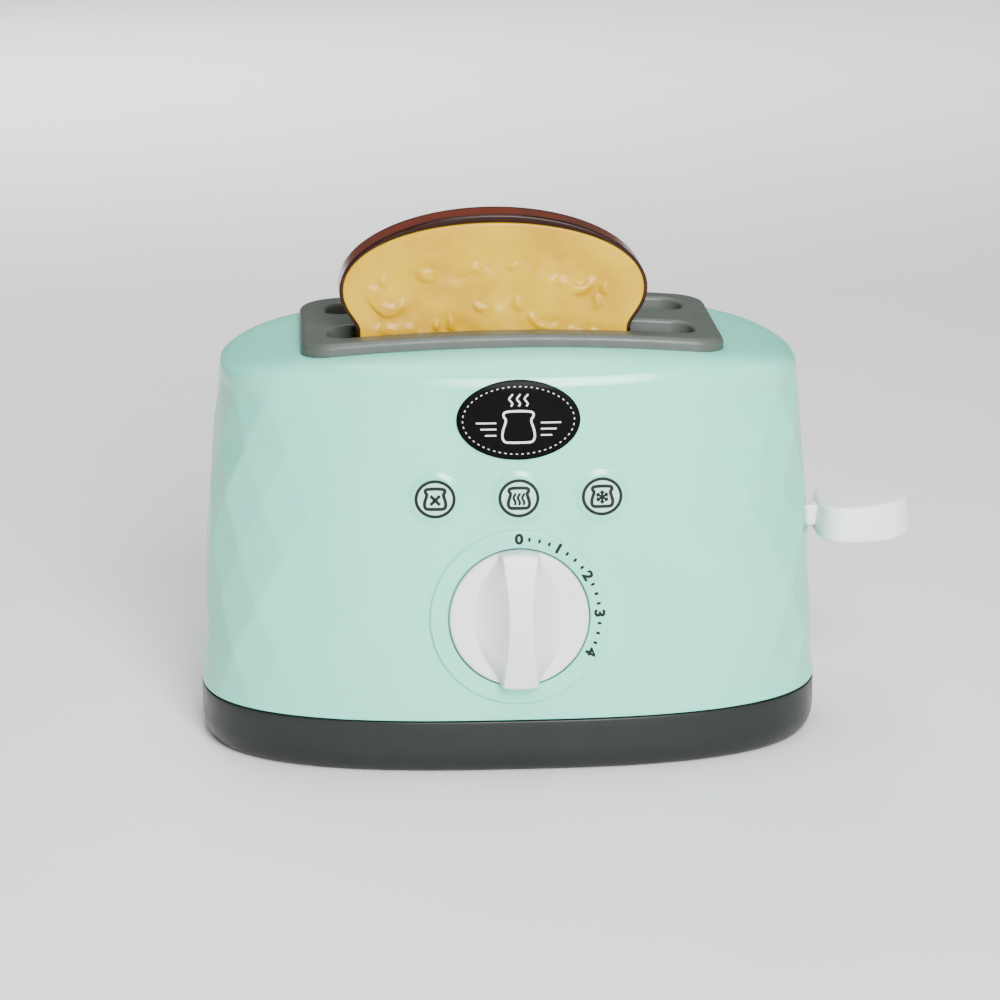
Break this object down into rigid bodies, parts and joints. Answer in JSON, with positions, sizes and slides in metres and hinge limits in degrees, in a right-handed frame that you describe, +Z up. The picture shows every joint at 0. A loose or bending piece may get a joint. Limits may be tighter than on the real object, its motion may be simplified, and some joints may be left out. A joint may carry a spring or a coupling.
{
  "type": "toy pop-up toaster",
  "caption": "Toy pop-up toaster with an arched rounded housing, two bread slots, a bread slice, a push-down lever and a wind-up timer dial.",
  "frame": {"origin": "middle of the whole outline, the lever and the knob included, on the plane of the base's underside", "axes": "+Z up, +X towards the push-down lever, the dial faces -Y"},
  "size_m": [0.216, 0.1137, 0.1603],
  "materials": {
    "mint": "glossy moulded plastic",
    "grey": "satin moulded plastic",
    "white": "glossy moulded plastic",
    "nylon": "plain moulded plastic",
    "crust": "glossy moulded plastic",
    "crumb": "glossy bumpy plastic",
    "sticker": "glossy printed film",
    "steel": "plain steel",
    "brass": "pressed sheet"
  },
  "bodies": {
    "body": {"housing": "mint", "base_tray": "grey", "slot_trim": "grey", "bread_well_front": "grey", "bread_well_rear": "grey", "badge_plate": "sticker", "icon_sticker_1": "sticker", "icon_sticker_2": "sticker", "icon_sticker_3": "sticker", "guide_rod_left": "steel", "guide_rod_right": "steel", "lift_spring_left": "steel", "lift_spring_right": "steel", "base_screw_1": "steel", "base_screw_2": "steel", "base_screw_3": "steel", "base_screw_4": "steel", "well_screw_1": "steel", "well_screw_2": "steel", "well_screw_3": "steel", "well_screw_4": "steel", "timer_front_plate": "brass", "timer_back_plate": "brass", "timer_pillar_1": "brass", "timer_pillar_2": "brass", "timer_pillar_3": "brass", "timer_pillar_4": "brass", "timer_screw_1": "steel", "timer_screw_2": "steel", "timer_screw_3": "steel", "timer_screw_4": "steel", "mainspring": "steel", "latch_spring": "steel", "middle_pin": "steel", "escape_pin": "steel", "pallet_pin": "steel", "latch_pin": "steel"},
    "carriage": {"toast_carriage": "nylon", "lever_paddle": "white", "paddle_screw": "steel"},
    "slice": {"toast_crust": "crust", "toast_face_front": "crumb", "toast_face_rear": "crumb"},
    "knob": {"timer_knob": "white", "knob_arbor": "steel", "main_gear": "nylon", "release_cam": "nylon"},
    "middle_wheel": {"middle_gear": "nylon"},
    "escape_wheel": {"escape_gear": "nylon"},
    "pallet_lever": {"pallet": "nylon"},
    "latch": {"latch_hook": "nylon"}
  },
  "joints": [
    {"name": "lever_press", "type": "slide", "parent": "body", "child": "carriage", "axis": [0, 0, -1], "range_m": [0, 0.03825], "stiffness_N_per_m": 40, "springref_m": -0.06, "deforming": ["lift_spring_left", "lift_spring_right"]},
    {"name": "slice_lift", "type": "slide", "parent": "carriage", "child": "slice", "axis": [0, 0, 1], "range_m": [0, 0.099]},
    {"name": "knob_turn", "type": "hinge", "parent": "body", "child": "knob", "pos_m": [-0.01495, -0.0382, 0.04704], "axis": [0, 0.9979, -0.0641], "range_deg": [0, 117], "stiffness_Nm_per_rad": 0.004, "springref_deg": -28.65},
    {"name": "middle_wheel_turn", "type": "hinge", "parent": "body", "child": "middle_wheel", "pos_m": [-0.02775, -0.03238, 0.03704], "axis": [0, 0.9979, -0.0641], "range_deg": [-351, 0]},
    {"name": "escape_wheel_turn", "type": "hinge", "parent": "body", "child": "escape_wheel", "pos_m": [-0.03908, -0.03181, 0.04591], "axis": [0, 0.9979, -0.0641], "range_deg": [0, 1053]},
    {"name": "pallet_rock", "type": "hinge", "parent": "body", "child": "pallet_lever", "pos_m": [-0.03908, -0.03111, 0.05689], "axis": [0, 0.9979, -0.0641], "range_deg": [-4, 4]},
    {"name": "latch_swing", "type": "hinge", "parent": "body", "child": "latch", "pos_m": [0.00405, -0.03125, 0.05461], "axis": [0, 0.9979, -0.0641], "range_deg": [-7, 0]}
  ],
  "couplings": [
    {"joint": "middle_wheel_turn", "follows": "knob_turn", "ratio": -3},
    {"joint": "escape_wheel_turn", "follows": "knob_turn", "ratio": 9},
    {"joint": "latch_swing", "follows": "knob_turn", "ratio": -0.0598}
  ]
}
